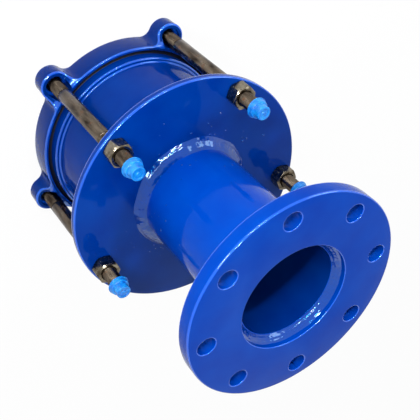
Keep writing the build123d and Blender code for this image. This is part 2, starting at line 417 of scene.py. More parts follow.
# %% Flange
def drill(x, y, radius, bottom, top, around=48):
    """A round cutter through a plate."""
    verts, faces = rings([(0.001, bottom), (radius, bottom), (radius, top), (0.001, top)], around)
    return mesh_of("cutter", [(vx + x, vy + y, vz) for vx, vy, vz in verts], faces)


def drilled_disc(name, outline, holes, hole_radius, edge, around=256):
    """A turned disc with round holes through it."""
    blank = mesh_of(name, *rings(outline, around))
    heights = [z for r, z in outline]
    cutters = [drill(x, y, hole_radius, min(heights) - 2, max(heights) + 2) for x, y in holes]
    return carve(name, blank, cutters, edge, clamp=False)


def on_circle(radius, angle):
    """The x and y of a point on a circle round the axis."""
    return radius * cos(angle), radius * sin(angle)


def mount_sizes(name):
    """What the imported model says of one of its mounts."""
    return next(m for m in frame["record"]["mounts"] if m["name"] == name)["dims"]


bolts = mount_sizes("flange_bolts")
flange_radius = reach("outlet_flange")
flange_back = low("outlet_flange")
flange_bore = reach("bore_weld")
hole_angles = [2 * pi * i / bolts["count"] for i in range(bolts["count"])]
flange_holes = [on_circle(bolts["pcd_mm"] / 2, angle) for angle in hole_angles]
flange_outline = soften([
    (flange_bore, flange_back, 0),
    (flange_radius, flange_back, 1.6),
    (flange_radius, 0, 2.0),
    (flange_bore, 0, 1.2),
])
flange_mesh = drilled_disc("flange", flange_outline, flange_holes, bolts["hole_r_mm"], edge=0.9)
# the rounded edges get the lighter enamel, a painted highlight
piece("flange", flange_mesh, enamel_turned, "welded_body", ["outlet_flange"],
      second=enamel_edge_painted_highlight, where=on_a_round)

# %% [markdown]
# ## The pipe and the round plate
# The pipe is plain tube, sawn square. Little light reaches its bore, so the bore gets a darker
# enamel of its own: painted shade. The plate is cut round and drilled for the studs. Both are
# turned from outlines; the plate is then drilled like the flange.

# %% Pipe
pipe_radius = reach("spool_pipe")
pipe_bore = mount_sizes("waterway")["r_mm"]
sawn_edge = 0.4
pipe_outline = soften([
    (pipe_bore, low("spool_pipe"), sawn_edge),
    (pipe_radius, low("spool_pipe"), sawn_edge),
    (pipe_radius, high("spool_pipe"), sawn_edge),
    (pipe_bore, high("spool_pipe"), sawn_edge),
])


def in_the_bore(face):
    """True for the faces of the pipe's bore."""
    return face.center.xy.length < (pipe_bore + 0.1) * MM


# the bore's faces take the darker enamel, painted shade
piece("spool", mesh_of("spool", *rings(pipe_outline)), enamel_pipe, "welded_body", ["spool_pipe"],
      second=enamel_bore_painted_shade, where=in_the_bore)

# %% Plate
plate_radius = reach("end_plate")
plate_clearance = 0.4
stud_hole_radius = 9.0
plate_outline = soften([
    (pipe_radius + plate_clearance, low("end_plate"), 0),
    (plate_radius, low("end_plate"), 1.6),
    (plate_radius, high("end_plate"), 2.2),
    (pipe_radius + plate_clearance, high("end_plate"), 0),
])
stud_spots = [on_circle(stud_circle, stud_angles[number]) for number in STUDS]
plate_mesh = drilled_disc("plate", plate_outline, stud_spots, stud_hole_radius, edge=0.7)
# the rounded edges get the lighter enamel, a painted highlight
piece("plate", plate_mesh, enamel_plate, "welded_body", ["end_plate"],
      second=enamel_edge_painted_highlight, where=on_a_round)

# %% [markdown]
# ## The sleeve
# The sleeve is wide tube with a thick lip at its mouth, rounded over on a lathe, and a bevel
# inside where the gasket seats. A tube and a torus put together would show a seam, so the whole
# wall, lip and bevel are one outline, turned once.

# %% Sleeve
socket_radius = mount_sizes("pipe_socket")["r_mm"]
sleeve_wall = 5.5
sleeve_radius = socket_radius + sleeve_wall
lip_radius = reach("socket_sleeve")
mouth = low("socket_sleeve")
lip_length = 14.0
seat_width = 4.5
seat_depth = 9.0
sleeve_outline = soften([
    (socket_radius, high("socket_sleeve"), 0),
    (sleeve_radius, high("socket_sleeve"), 0),
    (sleeve_radius, mouth + lip_length, 4.5),
    (lip_radius, mouth + lip_length, 3.0),
    (lip_radius, mouth, 2.6),
    (socket_radius + seat_width, mouth, 0.8),
    (socket_radius, mouth + seat_depth, 1.5),
], steps=6)
sleeve_mesh = mesh_of("sleeve", *rings(sleeve_outline, 256))
# the rounded edges and lip get the lighter enamel, a painted highlight
piece("sleeve", sleeve_mesh, enamel_sleeve, "welded_body", ["socket_sleeve"],
      second=enamel_edge_painted_highlight, where=on_a_round)

# %% [markdown]
# ## Weld beads
# A hand-laid bead is a row of small frozen pools. Seen close it has ripples across it, its edges
# wander, and it swells where the welder paused. A bump texture would give ripples but leave the
# outline true, and the outline is what tells. So each bead is a strip of real mesh whose edges and
# height follow smooth noise, with ripples pressed into it, and the paint goes over the top.

# %% A lumpy bead in a corner
def wander(angle, seed, scale=3.0):
    """Smooth noise round a circle, about -1 to 1, which meets itself after a full turn."""
    spot = Vector((cos(angle) * scale, sin(angle) * scale, seed * 7.31))
    return noise.noise(spot) * 1.6


POOL_DEPTH = 0.14    # how far the ripples stand up, in millimetres
RIDGE_DEPTH = 0.10   # low ridges that run along the bead
LUMP_DEPTH = 0.30    # uneven lumps
FOOT_SINK = 0.6      # how far the hidden corner of a bead lies inside the metal


def surface_height(angle, t, length, crown, ripple, seed):
    """How far a bead stands out at a share t of its width."""
    arch = sin(pi * t)
    step = length / ripple - 0.9 * arch + 0.35 * wander(angle, seed + 3, 9)
    pool = 0.5 + 0.5 * cos(2 * pi * step)
    ridge = cos(2 * pi * (2.6 * t + 0.2 * wander(angle, seed + 4, 3)))
    lump = noise.noise(Vector((cos(angle) * 16, sin(angle) * 16, t * 2 + seed)))
    return crown * arch + POOL_DEPTH * pool * arch**0.7 + RIDGE_DEPTH * ridge + LUMP_DEPTH * lump * arch


def bead(name, wall, foot_z, leg_out, leg_up, swell, ripple, seed, around=720, across=14):
    """A bead in the corner at radius wall and height foot_z. Legs are in mm and may be negative."""
    verts = []
    slope = hypot(leg_out, leg_up)
    sign_out = 1 if leg_out > 0 else -1
    sign_up = 1 if leg_up > 0 else -1
    for step in range(around):
        angle = 2 * pi * step / around
        reach_out = leg_out * (0.93 + 0.07 * wander(angle, seed, 5)) - sign_out * 0.1
        reach_up = leg_up * (0.92 + 0.08 * wander(angle, seed + 1, 4)) - sign_up * 0.1
        crown = swell * (0.75 + 0.45 * wander(angle, seed + 2, 7))
        length = angle * abs(wall + leg_out / 2)
        for k in range(across + 1):
            t = k / across
            height = surface_height(angle, t, length, crown, ripple, seed)
            r = wall + reach_out * (1 - t) + sign_out * height * abs(leg_up) / slope
            z = foot_z + reach_up * t + sign_up * height * abs(leg_out) / slope
            verts.append((r * cos(angle), r * sin(angle), z))
        r = wall - sign_out * FOOT_SINK
        verts.append((r * cos(angle), r * sin(angle), foot_z - sign_up * FOOT_SINK))
    row = across + 2
    faces = []
    for step in range(around):
        here = step * row
        there = (step + 1) % around * row
        for k in range(row):
            nxt = (k + 1) % row
            faces.append((here + k, there + k, there + nxt, here + nxt))
    return mesh_of(name, verts, faces, crisp=80)


# %% [markdown]
# ## The four beads
# One holds the pipe on the plate, one the pipe behind the flange, one the sleeve behind the plate,
# and one fills the step inside the flange's bore. Their legs come from the solids. A different
# seed gives each its own wander, as no two beads are alike.

# %% The four beads
def lay_bead(name, solid, wall, foot_z, leg_out, leg_up, swell, ripple, seed):
    """Make a bead into a piece that stands for its solid."""
    mesh = bead(name, wall, foot_z, leg_out, leg_up, swell, ripple, seed)
    piece(name, mesh, enamel_weld, "welded_body", [solid])


plate_top = high("end_plate")
plate_back = low("end_plate")
bead_leg = reach("plate_weld") - pipe_radius
bead_up = high("plate_weld") - plate_top
lay_bead("weld_pipe_to_plate", "plate_weld", pipe_radius, plate_top, bead_leg, bead_up, 1.0, 5.2, 1)
neck_leg = reach("neck_weld") - pipe_radius
lay_bead("weld_behind_flange", "neck_weld", pipe_radius, flange_back, neck_leg, -neck_leg, 0.7, 4.6, 11)
rear_leg = reach("sleeve_weld") - sleeve_radius
lay_bead("weld_behind_plate", "sleeve_weld", sleeve_radius, plate_back, rear_leg, -rear_leg, 0.6, 4.6, 21)
bore_leg = flange_bore - pipe_bore - 0.3
pipe_end = high("spool_pipe")
bore_up = high("bore_weld") - pipe_end
lay_bead("weld_in_bore", "bore_weld", flange_bore, pipe_end, -bore_leg, bore_up, 0.5, 5.5, 31)

# %% [markdown]
# ## The gland ring
# This is a casting: a ring with a skirt that stands round the lip of the sleeve, and five ears for
# the studs. Joining a ring and five lugs by booleans would leave hard seams where the real one
# has flowing metal. But its plan is one outline, a circle joined to five smaller ones by rounded
# corners, so the mesh is laid out like the spokes of a wheel. At each spoke a short profile runs
# over the rim, out along the top, down the side and back through the bore. Between the ears the
# top is a narrow rim, and over an ear it falls away in a smooth S. The sides lean out towards the
# rim, as they must to leave the mould.

# %% Outline of the ring and its ears
GLAND_DRAFT = 2.0
rim_z = high("gland_ring")
back_z = low("gland_ring")
gland_height = rim_z - back_z
ring_back = 109.77
ear_back = 16.4
ear_blend = 12.0
ear_drop = 11.5
fall_inset = 1.5
fall_width = 14.5
skirt_wall = 4.3
back_thickness = 15.0
socket_top = high("gland_nut_1")
pocket_floor = socket_top + 4.5
flare = gland_height * sin(radians(GLAND_DRAFT))
ring_rim = ring_back + flare


def ear_outline(ring, ear, blend, centre):
    """Points and outward normals of one fifth of the outline, with the ear on the X axis."""
    arc_steps = 12
    ear_steps = 18
    far = ring + blend
    near = ear + blend
    turn = acos((far**2 + centre**2 - near**2) / (2 * far * centre))
    hub = Vector((far * cos(turn), far * sin(turn)))
    swing = atan2(hub.y, hub.x - centre)
    half = []
    for k in range(arc_steps + 1):
        angle = pi / 5 + (turn - pi / 5) * k / arc_steps
        toward = Vector((cos(angle), sin(angle)))
        half.append((toward * ring, toward))
    start = turn + pi
    end = swing + pi
    for k in range(1, arc_steps + 1):
        angle = start + (end - start) * k / arc_steps
        toward = Vector((cos(angle), sin(angle)))
        half.append((hub + toward * blend, -toward))
    for k in range(1, ear_steps + 1):
        angle = swing * (1 - k / ear_steps)
        toward = Vector((cos(angle), sin(angle)))
        half.append((Vector((centre, 0)) + toward * ear, toward))
    mirror = [(Vector((p.x, -p.y)), Vector((n.x, -n.y))) for p, n in half[-2:0:-1]]
    return half + mirror


def whole_outline(ring, ear, blend):
    """The outline all the way round, turned so that the ears meet the studs."""
    points = []
    for number in STUDS:
        turn = Matrix.Rotation(stud_angles[number], 2)
        points.append([(turn @ p, turn @ n) for p, n in ear_outline(ring, ear, blend, stud_circle)])
    return [pair for fifth in points for pair in reversed(fifth)]


def top_of_gland(distance):
    """Height of the casting's top at a distance from the axis."""
    t = min(max((distance - ring_rim + fall_inset) / fall_width, 0), 1)
    return rim_z - ear_drop * t * t * (3 - 2 * t)


outline_top = whole_outline(ring_rim, ear_back + flare, ear_blend - flare)
outline_back = whole_outline(ring_back, ear_back, ear_blend)
print("outline stations:", len(outline_top))


# %% Mesh of the casting
gland_bore = socket_radius + 1.0
bore_break = 0.8     # the back edge of the bore
cast_round = 1.9     # every outer edge of the casting


def gland_blank():
    """The casting before its ears are hollowed."""
    skirt = ring_rim - skirt_wall
    shoulder = back_z + back_thickness
    soft = cast_round
    rows = []
    for (top, top_normal), (foot, foot_normal) in zip(outline_top, outline_back):
        ray = top.normalized()
        loop = [
            (ray * gland_bore, back_z + bore_break),
            (ray * gland_bore, shoulder),
            (ray * skirt, shoulder),
        ]
        for k in range(5):
            angle = pi / 2 * k / 4
            loop.append((ray * (skirt + soft * (1 - cos(angle))), rim_z - soft * (1 - sin(angle))))
        inner = ray * (skirt + soft)
        top = top.lerp(foot, (rim_z - top_of_gland(top.length - soft)) / gland_height)
        outer = top - top_normal * soft
        for k in range(1, 17):
            spot = inner.lerp(outer, k / 16)
            loop.append((spot, top_of_gland(spot.length)))
        edge_z = top_of_gland(outer.length)
        for k in range(1, 5):
            angle = pi / 2 * k / 4
            loop.append((top - top_normal * soft * (1 - sin(angle)), edge_z - soft * (1 - cos(angle))))
        for k in range(1, 7):
            share = k / 6
            height = (edge_z - soft) * (1 - share) + (back_z + soft) * share
            blend = (rim_z - height) / gland_height
            loop.append((top.lerp(foot, blend), height))
        for k in range(1, 4):
            angle = pi / 2 * k / 3
            loop.append((foot - foot_normal * soft * (1 - cos(angle)), back_z + soft * (1 - sin(angle))))
        for k in range(1, 5):
            spot = (foot - foot_normal * soft).lerp(ray * (gland_bore + bore_break), k / 4)
            loop.append((spot, back_z))
        rows.append(loop)
    verts = [(spot.x, spot.y, z) for loop in rows for spot, z in loop]
    count = len(rows[0])
    faces = []
    for i in range(len(rows)):
        j = (i + 1) % len(rows)
        for k in range(count):
            nxt = (k + 1) % count
            faces.append((i * count + k, j * count + k, j * count + nxt, i * count + nxt))
    return mesh_of("gland_blank", verts, faces)


# %% [markdown]
# ## Hollows in the ears
# Each ear has a dished pocket round its stud, a hole for the stud, and, from behind, a six-sided
# socket that keeps a thin nut from turning. The pocket is cut by a bowl that is flattened on the
# side towards the ring, so that it never breaks through the skirt. The nut's socket is a plain
# six-sided block with a little room all round.

# %% Cutters for the ears
ACROSS = 24.0        # across the flats of the nuts
SOCKET_ROOM = 0.3    # between a nut's flat and its socket
POCKET_RADIUS = 12.2
POCKET_DISH = 3.2    # height of the rounding at the pocket's floor
ear_top_z = rim_z - ear_drop


def pocket_cutter(angle):
    """The dished pocket in an ear, kept clear of the ring."""
    centre = Vector((stud_circle, 0))
    wall = ring_rim + 0.2
    around = 72
    edge = []
    for k in range(around):
        toward = Vector((cos(2 * pi * k / around), sin(2 * pi * k / around)))
        spot = centre + toward * POCKET_RADIUS
        if spot.length < wall:
            spot = spot.normalized() * wall
        edge.append(spot)
    levels = [(0.001, pocket_floor), (0.5, pocket_floor)]
    for k in range(6):
        slope = pi / 2 * k / 5
        levels.append((1 - 0.24 * (1 - sin(slope)), pocket_floor + POCKET_DISH * (1 - cos(slope))))
    levels += [(1.0, ear_top_z), (1.03, rim_z + 3), (0.001, rim_z + 3)]
    spin = Matrix.Rotation(angle, 2)
    verts = []
    for share, z in levels:
        for spot in edge:
            place = spin @ (centre + (spot - centre) * share)
            verts.append((place.x, place.y, z))
    faces = []
    for row in range(len(levels) - 1):
        here = row * around
        above = here + around
        for k in range(around):
            n = (k + 1) % around
            faces.append((here + k, here + n, above + n, above + k))
    faces.append(tuple(range(around)))
    last = (len(levels) - 1) * around
    faces.append(tuple(last + k for k in range(around)))
    return mesh_of("pocket", verts, faces)


def socket_cutter(angle):
    """The six-sided socket for a thin nut in the back of an ear."""
    corner = (ACROSS / 2 + SOCKET_ROOM) / cos(radians(30))
    centre = Vector(on_circle(stud_circle, angle))
    verts = []
    for z in (back_z - 2, socket_top):
        for side in range(6):
            toward = Vector(on_circle(corner, angle + radians(30 + 60 * side)))
            verts.append((centre.x + toward.x, centre.y + toward.y, z))
    faces = [(0, 1, 2, 3, 4, 5), (6, 7, 8, 9, 10, 11)]
    for side in range(6):
        after = (side + 1) % 6
        faces.append((side, after, after + 6, side + 6))
    return mesh_of("socket", verts, faces)


# %% The finished casting
cutters = [pocket_cutter(stud_angles[number]) for number in STUDS]
cutters += [socket_cutter(stud_angles[number]) for number in STUDS]
cutters += [drill(x, y, stud_hole_radius, socket_top - 2, pocket_floor + 2) for x, y in stud_spots]
gland_mesh = carve("gland", gland_blank(), cutters, edge=1.0, crisp=40)
# the rounded edges get the lighter enamel, a painted highlight
piece("gland", gland_mesh, enamel_cast, "gland_assembly", ["gland_ring"],
      second=enamel_edge_painted_highlight, where=on_a_round)

# %% [markdown]
# ## The rubber gasket
# A wedge ring that the gland ring squeezes into the mouth of the sleeve. Only its edge shows,
# down in the dark gap inside the skirt, but from below it can be seen all round. Real rubber
# gives way as the gland ring is drawn up; this one is a plain turned ring that moves with the
# gland ring and keeps its shape.

# %% Gasket
gasket_outer = reach("gasket")
gasket_low = low("gasket")
gasket_high = high("gasket")
gasket_bore = socket_radius + 0.5
gasket_outline = soften([
    (gasket_bore, gasket_low, 1.0),
    (gasket_outer, gasket_low, 0.8),
    (gasket_outer, (gasket_low + mouth) / 2, 1.5),
    (lip_radius - 2, mouth, 0.6),
    (socket_radius + seat_width - 0.3, mouth, 0.4),
    (socket_radius + seat_width * (seat_depth - 7) / seat_depth - 0.3, gasket_high, 0.3),
    (gasket_bore, mouth, 2.0),
])
rubber = Finish("black_rubber", Base_Color=linear(20, 24, 44), Roughness=0.62, Specular_IOR_Level=0.35)
rubber.bump((rubber.noise(1.2), 0.05))
gasket_mesh = mesh_of("gasket_ring", *rings(gasket_outline))
gasket_ring = piece("gasket_ring", gasket_mesh, rubber.material, "gland_assembly", ["gasket"])
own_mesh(gasket_ring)

# %% [markdown]
# ## Studs with real threads
# A thread could be faked with a striped bump, but the outline of a bare stud is toothed and each
# flank takes the light on its own. So the thread is a mesh strip that climbs one pitch for each
# turn. Every row of points sits a quarter of the pitch above the last: crest, crest, root, root.
# Joining the end of one turn to the start of the next, four rows up, makes the helix.
# Where the thread has to stop, heights are simply held at the limit.

# %% Threaded rod
PITCH = 2.0
CREST = 7.8    # radius over the thread
ROOT = 6.75    # radius at its foot
TIP = ROOT - 0.2
TIP_SLOPE = 0.9
FLAT_TRIM = 0.1    # share of the pitch taken off each flat, which leaves the flanks wider
THREAD_PROFILE = [CREST, CREST, ROOT, ROOT]


def thread_rows(low_z, high_z, around, tip_low=None, tip_high=None, turn=0.0):
    """Rows of points for a thread; a tip is a height where the rod ends in a small cone."""
    rows = []
    count = ceil((high_z - low_z) / PITCH) * 4
    for k in range(-4, count + 5):
        row = []
        for j in range(around):
            share = j / around
            trim = FLAT_TRIM if k % 4 in (1, 3) else 0
            z = low_z + PITCH * (k / 4 + share - trim)
            z = min(max(z, low_z), high_z)
            radius = THREAD_PROFILE[k % 4]
            if tip_low is not None:
                radius = min(radius, TIP + (z - tip_low) * TIP_SLOPE)
            if tip_high is not None:
                radius = min(radius, TIP + (tip_high - z) * TIP_SLOPE)
            angle = 2 * pi * share + turn
            row.append((radius * cos(angle), radius * sin(angle), z))
        rows.append(row)
    return rows


def helix_mesh(rows, around):
    """Join rows so that each turn runs on into the next, four rows up."""
    verts = [spot for row in rows for spot in row]
    faces = []
    for k in range(len(rows) - 1):
        for j in range(around - 1):
            here = k * around + j
            faces.append((here, here + 1, here + around + 1, here + around))
        if k + 5 < len(rows):
            end = k * around + around - 1
            start = (k + 4) * around
            faces.append((end, start, start + around, end + around))
    return verts, faces


def disc_fan(radius, z, around, upward):
    """A flat round end of a rod."""
    edge = [on_circle(radius, 2 * pi * j / around) for j in range(around)]
    verts = [(0, 0, z)] + [(x, y, z) for x, y in edge]
    faces = []
    for j in range(around):
        n = (j + 1) % around
        faces.append((0, 1 + j, 1 + n) if upward else (0, 1 + n, 1 + j))
    return verts, faces


def gather(*parts):
    """Put several (verts, faces) lists together as one."""
    verts, faces = [], []
    for more_verts, more_faces in parts:
        base = len(verts)
        verts += more_verts
        faces += [tuple(base + v for v in face) for face in more_faces]
    return verts, faces


# %% [markdown]
# ## The stud
# A stud is threaded at both ends and plain between, where it is a touch thicker than over the
# thread. The two threads, the shank and the flat ends are made apart and gathered as one mesh.

# %% Stud
AROUND = 36    # points round a thread
SHANK = 7.95   # radius of the plain middle
stud_low = low("stud_1")
stud_high = high("stud_1")
upper_thread = 60.0
lower_thread = 41.5
shank_low = stud_low + lower_thread
shank_high = stud_high - upper_thread
shank_outline = [
    (ROOT - 0.3, shank_low - 0.5),
    (ROOT, shank_low - 0.4),
    (SHANK - 0.2, shank_low + 0.5),
    (SHANK, shank_low + 1.1),
    (SHANK, shank_high - 1.1),
    (SHANK - 0.2, shank_high - 0.5),
    (ROOT, shank_high + 0.4),
    (ROOT - 0.3, shank_high + 0.5),
]


def stud_shape(turn):
    """A stud on the axis; turn sets where its threads start."""
    lower = thread_rows(stud_low, shank_low, AROUND, tip_low=stud_low, turn=turn)
    upper = thread_rows(shank_high, stud_high, AROUND, tip_high=stud_high, turn=turn + 1)
    return gather(
        helix_mesh(lower, AROUND),
        helix_mesh(upper, AROUND),
        rings(shank_outline, 48, closed=False),
        disc_fan(TIP, stud_low, AROUND, upward=False),
        disc_fan(TIP, stud_high, AROUND, upward=True),
    )


def shifted(shape, place, turn=0.0):
    """Turn a shape about its own axis and stand it at a place on the stud circle."""
    verts, faces = shape
    spin = Matrix.Rotation(turn, 3, "Z")
    move = Vector((place[0], place[1], 0))
    return [tuple(spin @ Vector(v) + move) for v in verts], faces


# %% [markdown]
# ## Plated steel
# The studs and nuts are plated and have dulled to a bronze grey, with a few rusty spots where
# they were handled. Metal has little colour of its own: it shows what is round it. So the shader
# is fully metallic with a warm grey tint, and the look comes from a noise in the tint and the
# roughness: blotches on the nuts, and on a stud dark streaks that run along it. These streaks are
# partly its own tone and partly a painted reflection of the streaks a stud mirrors. Rust is less
# metallic, so one mask drives both the colour and the metal value.

# %% Steel finishes
RUST = linear(112, 72, 42)


def plated(name, tint, dark, rust, rough, streak=(1, 1, 1), blotch_mm=6.0):
    """Dull plated steel; rust is the noise value above which rust begins."""
    steel = Finish(name)
    blotch = steel.noise(blotch_mm, detail=3, stretch=streak)
    plain = steel.ramp(blotch, [(0.3, dark), (0.7, tint)])
    mask = steel.spread(steel.noise(7, detail=5, rough=0.6), 0, 1, rust, rust + 0.16)
    # a Mix node keeps its two colours at inputs 6 and 7, and the mixed colour at output 2
    mixer = steel.add("ShaderNodeMix", data_type="RGBA")
    steel.join(mask, mixer.inputs["Factor"])
    steel.join(plain, mixer.inputs[6])
    mixer.inputs[7].default_value = RUST
    steel.set("Base Color", mixer.outputs[2])
    steel.set("Metallic", steel.spread(mask, 1.0, 0.5, 0, 1))
    steel.set("Roughness", steel.spread(steel.noise(3, detail=2, stretch=streak), *rough))
    steel.bump((steel.noise(2.5, detail=2, stretch=streak), 0.012))
    return steel.material


# the stud's dark tint and long streaks are partly painted reflection, partly its own tone
stud_steel = plated("dull_plated_stud", linear(120, 108, 94), linear(44, 36, 30), rust=0.58,
                    streak=(1, 1, 0.25), rough=(0.16, 0.3))
nut_steel = plated("dull_plated_nut", linear(140, 132, 116), linear(76, 67, 54), rust=0.6,
                   rough=(0.16, 0.3))
for number in STUDS:
    name = f"stud_rod_{number}"
    shape = shifted(stud_shape(number * 1.3), stud_places[number])
    piece(name, mesh_of(name, *shape, crisp=70), stud_steel, "gland_assembly", [f"stud_{number}"])

# %% [markdown]
# ## Hexagon nuts
# A nut is forged from hexagon bar and its corners are turned off by a cone, which leaves the
# curved edges that make a nut read as a nut. A six-sided cylinder with a bevel has none. Laid out
# round the axis, each spoke's side wall stops where the cone meets it, so the curves come out by
# themselves with no cutting. The nuts on the plate stand at different turns, as they were left;
# the thin nuts behind the ears are held square by their sockets.

# %% Nut
NUT_TURNS = {1: 12.0, 2: 0.0, 3: 5.0, 4: 38.0, 5: 26.0}
CORNER_STEPS = 6     # stations from the middle of a flat to its corner


def nut_shape(bottom, top):
    """A nut with rounded corners and both ends turned down."""
    flat = ACROSS / 2
    cone_start = flat * 0.93
    slope = tan(radians(30))
    worn_from = 0.8    # share of the way to a corner where its rounding starts
    wear = 0.028       # share of the radius that the rounding takes off the corner itself
    stations = []
    for side in range(6):
        for k in range(-CORNER_STEPS, CORNER_STEPS):
            share = abs(k) / CORNER_STEPS
            lean = radians(30) * share**0.8 * (1 if k > 0 else -1)
            corner_cut = 1 - wear * max(0, share - worn_from) / 0.2
            stations.append((radians(60 * side + 30) + lean, flat / cos(lean) * corner_cut))
    verts, faces = [], []
    for angle, radius in stations:
        drop = max(0, radius - cone_start) * slope
        profile = [
            (CREST + 0.06, bottom + 1.2),
            (CREST + 1.1, bottom),
            (cone_start, bottom),
            (radius - 0.15, bottom + drop - 0.08),
            (radius, bottom + drop + 0.15),
            (radius, top - drop - 0.15),
            (radius - 0.15, top - drop + 0.08),
            (cone_start, top),
            (CREST + 1.1, top),
            (CREST + 0.06, top - 1.2),
        ]
        verts += [(r * cos(angle), r * sin(angle), z) for r, z in profile]
    count = len(verts) // len(stations)
    for i in range(len(stations)):
        j = (i + 1) % len(stations)
        for k in range(count):
            n = (k + 1) % count
            faces.append((i * count + k, j * count + k, j * count + n, i * count + n))
    return verts, faces


def fit_nut(name, solid, number, turn, body):
    """Put a nut where its solid is, turned by so many degrees from its stud's own direction."""
    shape = nut_shape(low(solid), high(solid))
    shape = shifted(shape, stud_places[number], stud_angles[number] + radians(turn))
    piece(name, mesh_of(name, *shape, crisp=22), nut_steel, body, [solid])


for number in STUDS:
    plate_nut = f"plate_nut_{number}"
    fit_nut(f"nut_on_plate_{number}", plate_nut, number, NUT_TURNS[number], f"{plate_nut}_body")
    fit_nut(f"nut_on_gland_{number}", f"gland_nut_{number}", number, 30, "gland_assembly")

# %% [markdown]
# ## Blue thread caps
# Thin soft plastic caps are pushed on the stud ends to keep the threads clean. The plastic lets
# some light through, so the lit side glows and no side goes dark. Full glass would be far too
# clear; a little light passing under the surface (subsurface) gives the milky look.

# %% Caps
cap_plastic = Finish("sky_blue_cap_plastic", Roughness=0.3, Specular_IOR_Level=0.5,
                     Subsurface_Weight=0.35, Subsurface_Scale=0.004, Subsurface_Radius=(0.2, 0.7, 1.0))
cap_tones = [(0.35, linear(8, 106, 190)), (0.65, linear(20, 134, 214))]
cap_plastic.set("Base Color", cap_plastic.ramp(cap_plastic.noise(6), cap_tones))
cap_plastic.bump((cap_plastic.noise(4, detail=1), 0.10), (cap_plastic.noise(0.7), 0.008))


def cap_shape(brim_z, top_z):
    """A cap on the axis: a brim, a body that fits the thread, and a nose with a ring and a dimple."""
    brim = 11.0
    body = 10.1
    nose = 7.6
    hollow = 6.1
    shoulder = brim_z + 5.6
    stop = brim_z + 4.5          # the thread ends here inside the cap
    ceiling = top_z - 2.1        # inside of the nose
    dimple = top_z - 0.8
    button = top_z - 0.2
    bore = CREST + 0.1
    outline = soften([
        (bore, brim_z, 0.1),
        (brim, brim_z, 0.45),
        (brim, brim_z + 1.2, 0.45),
        (body, brim_z + 1.25, 0.3),
        (9.55, shoulder, 1.4),
        (nose + 0.1, shoulder + 0.25, 0.5),
        (nose - 0.15, top_z, 0.8),
        (5.3, top_z, 0.3),
        (5.1, dimple, 0.3),
        (1.9, dimple, 0.3),
        (1.5, button, 0.4),
        (0.001, button, 0),
        (0.001, ceiling, 0),
        (hollow, ceiling, 0.4),
        (hollow, stop, 0),
        (bore, stop, 0),
    ], steps=4)
    return rings(outline, 64)


for number in STUDS:
    solid = f"thread_cap_{number}"
    name = f"blue_cap_{number}"
    shape = shifted(cap_shape(low(solid), high(solid)), stud_places[number])
    piece(name, mesh_of(name, *shape, crisp=60), cap_plastic.material, f"{solid}_body", [solid])

# %% [markdown]
# ## Weld spatter
# Droplets thrown off by the arc stick to the plate and pipe and are painted over. They are small
# real bumps, sunk into the surface, scattered more thickly close to the weld. The draw starts
# from a fixed number, so that every run throws them to the same places.

# %% Spatter
DROP_LEVELS = 4      # rings of faces on a dome
DROP_AROUND = 12     # points round it
SUNK = 0.25          # share of its height that lies in the surface
BUNCHING = 1.6       # over 1 draws the drops towards the weld


def droplet(centre, normal, radius, height):
    """A low dome on a surface."""
    side = normal.orthogonal().normalized()
    other = normal.cross(side)
    verts = []
    for level in range(DROP_LEVELS + 1):
        lean = pi / 2 * level / DROP_LEVELS
        for k in range(DROP_AROUND):
            angle = 2 * pi * k / DROP_AROUND
            toward = side * cos(angle) + other * sin(angle)
            spot = centre + toward * radius * cos(lean) + normal * height * (sin(lean) - SUNK)
            verts.append(tuple(spot))
    faces = []
    for level in range(DROP_LEVELS):
        here = level * DROP_AROUND
        above = here + DROP_AROUND
        for k in range(DROP_AROUND):
            n = (k + 1) % DROP_AROUND
            faces.append((here + k, here + n, above + n, above + k))
    faces.append(tuple(DROP_LEVELS * DROP_AROUND + k for k in range(DROP_AROUND)))
    return verts, faces


chance = random.Random(7)
drops = []
for _ in range(46):
    angle = chance.uniform(0, 2 * pi)
    distance = pipe_radius + bead_leg + 1 + 38 * chance.random() ** BUNCHING
    size = chance.uniform(0.5, 1.3)
    spot = Vector((distance * cos(angle), distance * sin(angle), plate_top))
    drops.append(droplet(spot, Vector((0, 0, 1)), size, size * 0.7))
for _ in range(26):
    angle = chance.uniform(0, 2 * pi)
    height = plate_top + bead_up + 1 + 34 * chance.random() ** BUNCHING
    size = chance.uniform(0.5, 1.2)
    out = Vector((cos(angle), sin(angle), 0))
    drops.append(droplet(out * pipe_radius + Vector((0, 0, height)), out, size, size * 0.7))
piece("weld_spatter", mesh_of("weld_spatter", *gather(*drops), crisp=80), enamel_weld, "welded_body")

# %% [markdown]
# ## A white floor
# The photograph was cut out on white. A white floor catches a soft shadow, which keeps the
# fitting from floating. Lighting the floor until it is white would bleach the paint as well. So
# the floor is lit like the rest, and what the camera sees of it is lifted to white by a glow that
# the light path switches on. Mirror images and what is seen through glass get a little of that
# glow too, and light that falls on the paint gets none.

# %% Floor
FLOOR_REACH = 6.0
SEEN_LIFT = 0.95     # how much of the floor is glow to the camera
MIRROR_LIFT = 0.2    # and to mirror images


def calculate(tree, operation, first, second):
    """One step of arithmetic in a node tree; second is a number or another node's output."""
    node = tree.nodes.new("ShaderNodeMath")
    node.operation = operation
    tree.links.new(first, node.inputs[0])
    if isinstance(second, float):
        node.inputs[1].default_value = second
    else:
        tree.links.new(second, node.inputs[1])
    return node.outputs[0]


